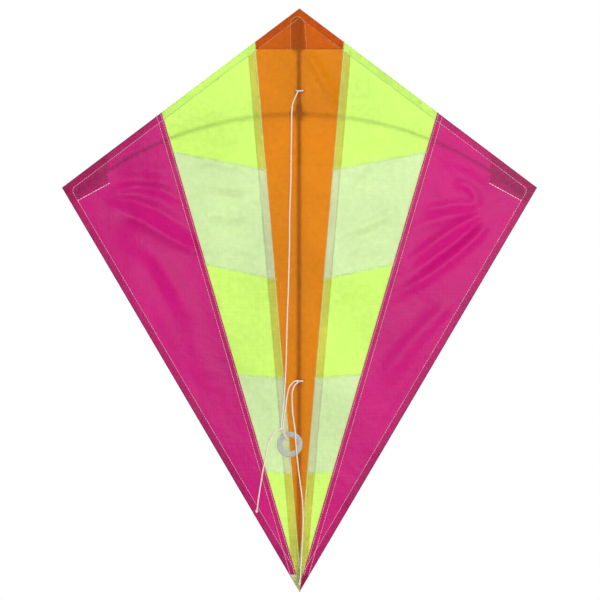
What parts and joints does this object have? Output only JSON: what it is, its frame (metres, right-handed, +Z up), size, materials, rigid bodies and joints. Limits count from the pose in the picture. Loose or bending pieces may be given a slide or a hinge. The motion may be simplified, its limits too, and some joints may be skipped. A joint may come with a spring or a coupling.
{
  "type": "diamond kite",
  "caption": "Flat diamond kite with a multicolour sewn sail, straight spine, sprung cross spar, two-leg cord bridle and a round tow ring.",
  "frame": {"origin": "centre of the cross spar where it passes behind the spine, which is where a hand, a wall hook or a display peg holds the kite", "axes": "+Z up the spine to the nose, +X to the right wing tip seen from the flyer's side, +Y back away from the flyer"},
  "size_m": [0.57, 0.0207, 0.7],
  "materials": {
    "orange_cloth": "translucent woven",
    "nose_cloth": "translucent woven, doubled",
    "lime_cloth": "translucent woven, fluorescent",
    "mint_cloth": "translucent woven",
    "magenta_cloth": "translucent woven",
    "seam_cloth": "translucent woven, doubled",
    "tail_cloth": "translucent woven, doubled",
    "rod": "satin fibre-filled rod",
    "end_cap": "soft vinyl",
    "cord": "braided cord",
    "ring_plastic": "clear grey moulded plastic"
  },
  "bodies": {
    "frame": {"spine": "rod", "nose_cap": "end_cap", "tail_cap": "end_cap", "cross_fitting": "end_cap", "spar_centre": "rod", "centre_panel": "orange_cloth", "nose_patch": "nose_cloth", "tail_tab": "tail_cloth", "upper_tow_tie": "cord", "lower_tow_tie": "cord", "bridle_upper_leg": "cord", "bridle_lower_leg": "cord", "bridle_knot": "cord", "tail_line": "cord", "tail_knot": "cord", "pigtail": "cord", "pigtail_knot": "cord"},
    "left_wing": {"left_lime_top": "lime_cloth", "left_mint_upper": "mint_cloth", "left_lime_middle": "lime_cloth", "left_mint_lower": "mint_cloth", "left_lime_tail": "lime_cloth", "left_wing_panel": "magenta_cloth", "left_lime_hem": "lime_cloth", "left_leading_hem": "magenta_cloth", "left_trailing_hem": "magenta_cloth", "left_inner_seam": "seam_cloth", "left_outer_seam": "magenta_cloth", "left_tip_pocket": "magenta_cloth", "left_tip_cap": "end_cap", "left_spar": "rod"},
    "right_wing": {"right_lime_top": "lime_cloth", "right_mint_upper": "mint_cloth", "right_lime_middle": "lime_cloth", "right_mint_lower": "mint_cloth", "right_lime_tail": "lime_cloth", "right_wing_panel": "magenta_cloth", "right_lime_hem": "lime_cloth", "right_leading_hem": "magenta_cloth", "right_trailing_hem": "magenta_cloth", "right_inner_seam": "seam_cloth", "right_outer_seam": "magenta_cloth", "right_tip_pocket": "magenta_cloth", "right_tip_cap": "end_cap", "right_spar": "rod"},
    "ring_loop": {"ring_hitch": "cord"},
    "ring": {"tow_ring": "ring_plastic"}
  },
  "joints": [
    {"name": "left_wing_flex", "type": "hinge", "parent": "frame", "child": "left_wing", "pos_m": [-0.0459, -0.00015, 0], "axis": [0.0852, 0, -0.9964], "range_deg": [0, 18], "stiffness_Nm_per_rad": 1.5},
    {"name": "right_wing_flex", "type": "hinge", "parent": "frame", "child": "right_wing", "pos_m": [0.0459, -0.00015, 0], "axis": [0.0852, 0, 0.9964], "range_deg": [0, 18], "stiffness_Nm_per_rad": 1.5},
    {"name": "ring_swing", "type": "hinge", "parent": "frame", "child": "ring_loop", "pos_m": [-0.0214, -0.013, -0.381], "axis": [0, 1, 0], "range_deg": [-30, 60]},
    {"name": "ring_spin", "type": "hinge", "parent": "ring_loop", "child": "ring", "pos_m": [-0.01154, -0.013, -0.39954], "axis": [0, -1, 0], "continuous": true}
  ]
}
